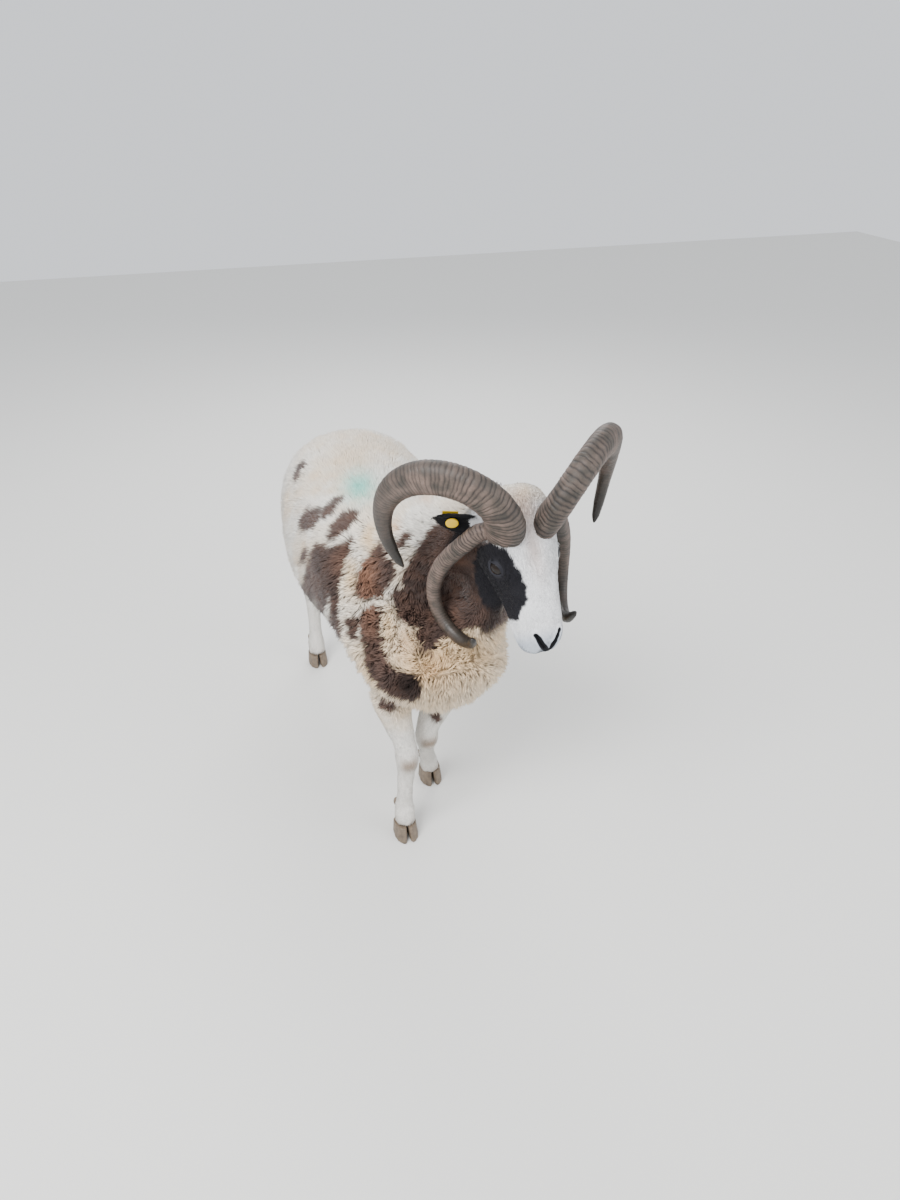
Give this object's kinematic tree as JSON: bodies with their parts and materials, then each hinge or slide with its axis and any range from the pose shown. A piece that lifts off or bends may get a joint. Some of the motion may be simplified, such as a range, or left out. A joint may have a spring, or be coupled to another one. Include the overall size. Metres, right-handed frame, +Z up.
{
  "type": "jacob sheep",
  "caption": "Standing four-horned piebald ram with ridged curled horns, short clumped fleece, cloven hooves, woolly tail and plain yellow ear tags, as a still life-size model",
  "frame": {"origin": "middle of the ground area under the animal, at the level of its soles", "axes": "the trunk points to -Y, +X is the animal's left, +Z is up"},
  "size_m": [0.6102, 1.048, 0.9305],
  "materials": {
    "white_wool": "short dense cream-white fleece",
    "brown_wool": "short dense dark brown fleece",
    "white_hair": "short flat white hair",
    "black_hair": "short flat black hair",
    "horn": "ridged grey-brown horn, darker at the tip",
    "hoof": "worn dull hoof horn",
    "eye": "wet dark eye",
    "tag_plastic": "plain moulded yellow plastic"
  },
  "bodies": {
    "root": {"torso": "white_wool", "tail": "white_wool", "neck": "brown_wool", "head": "white_hair", "ear_left": "black_hair", "ear_right": "black_hair", "ear_tag_left": "tag_plastic", "ear_tag_right": "tag_plastic", "eye_left": "eye", "eye_right": "eye", "upper_horn_left": "horn", "upper_horn_right": "horn", "lower_horn_left": "horn", "lower_horn_right": "horn", "front_right_leg": "white_hair", "front_left_leg": "white_hair", "hind_right_leg": "white_hair", "hind_left_leg": "white_hair", "front_right_left_claw": "hoof", "front_right_right_claw": "hoof", "front_left_left_claw": "hoof", "front_left_right_claw": "hoof", "hind_right_left_claw": "hoof", "hind_right_right_claw": "hoof", "hind_left_left_claw": "hoof", "hind_left_right_claw": "hoof"}
  },
  "joints": []
}
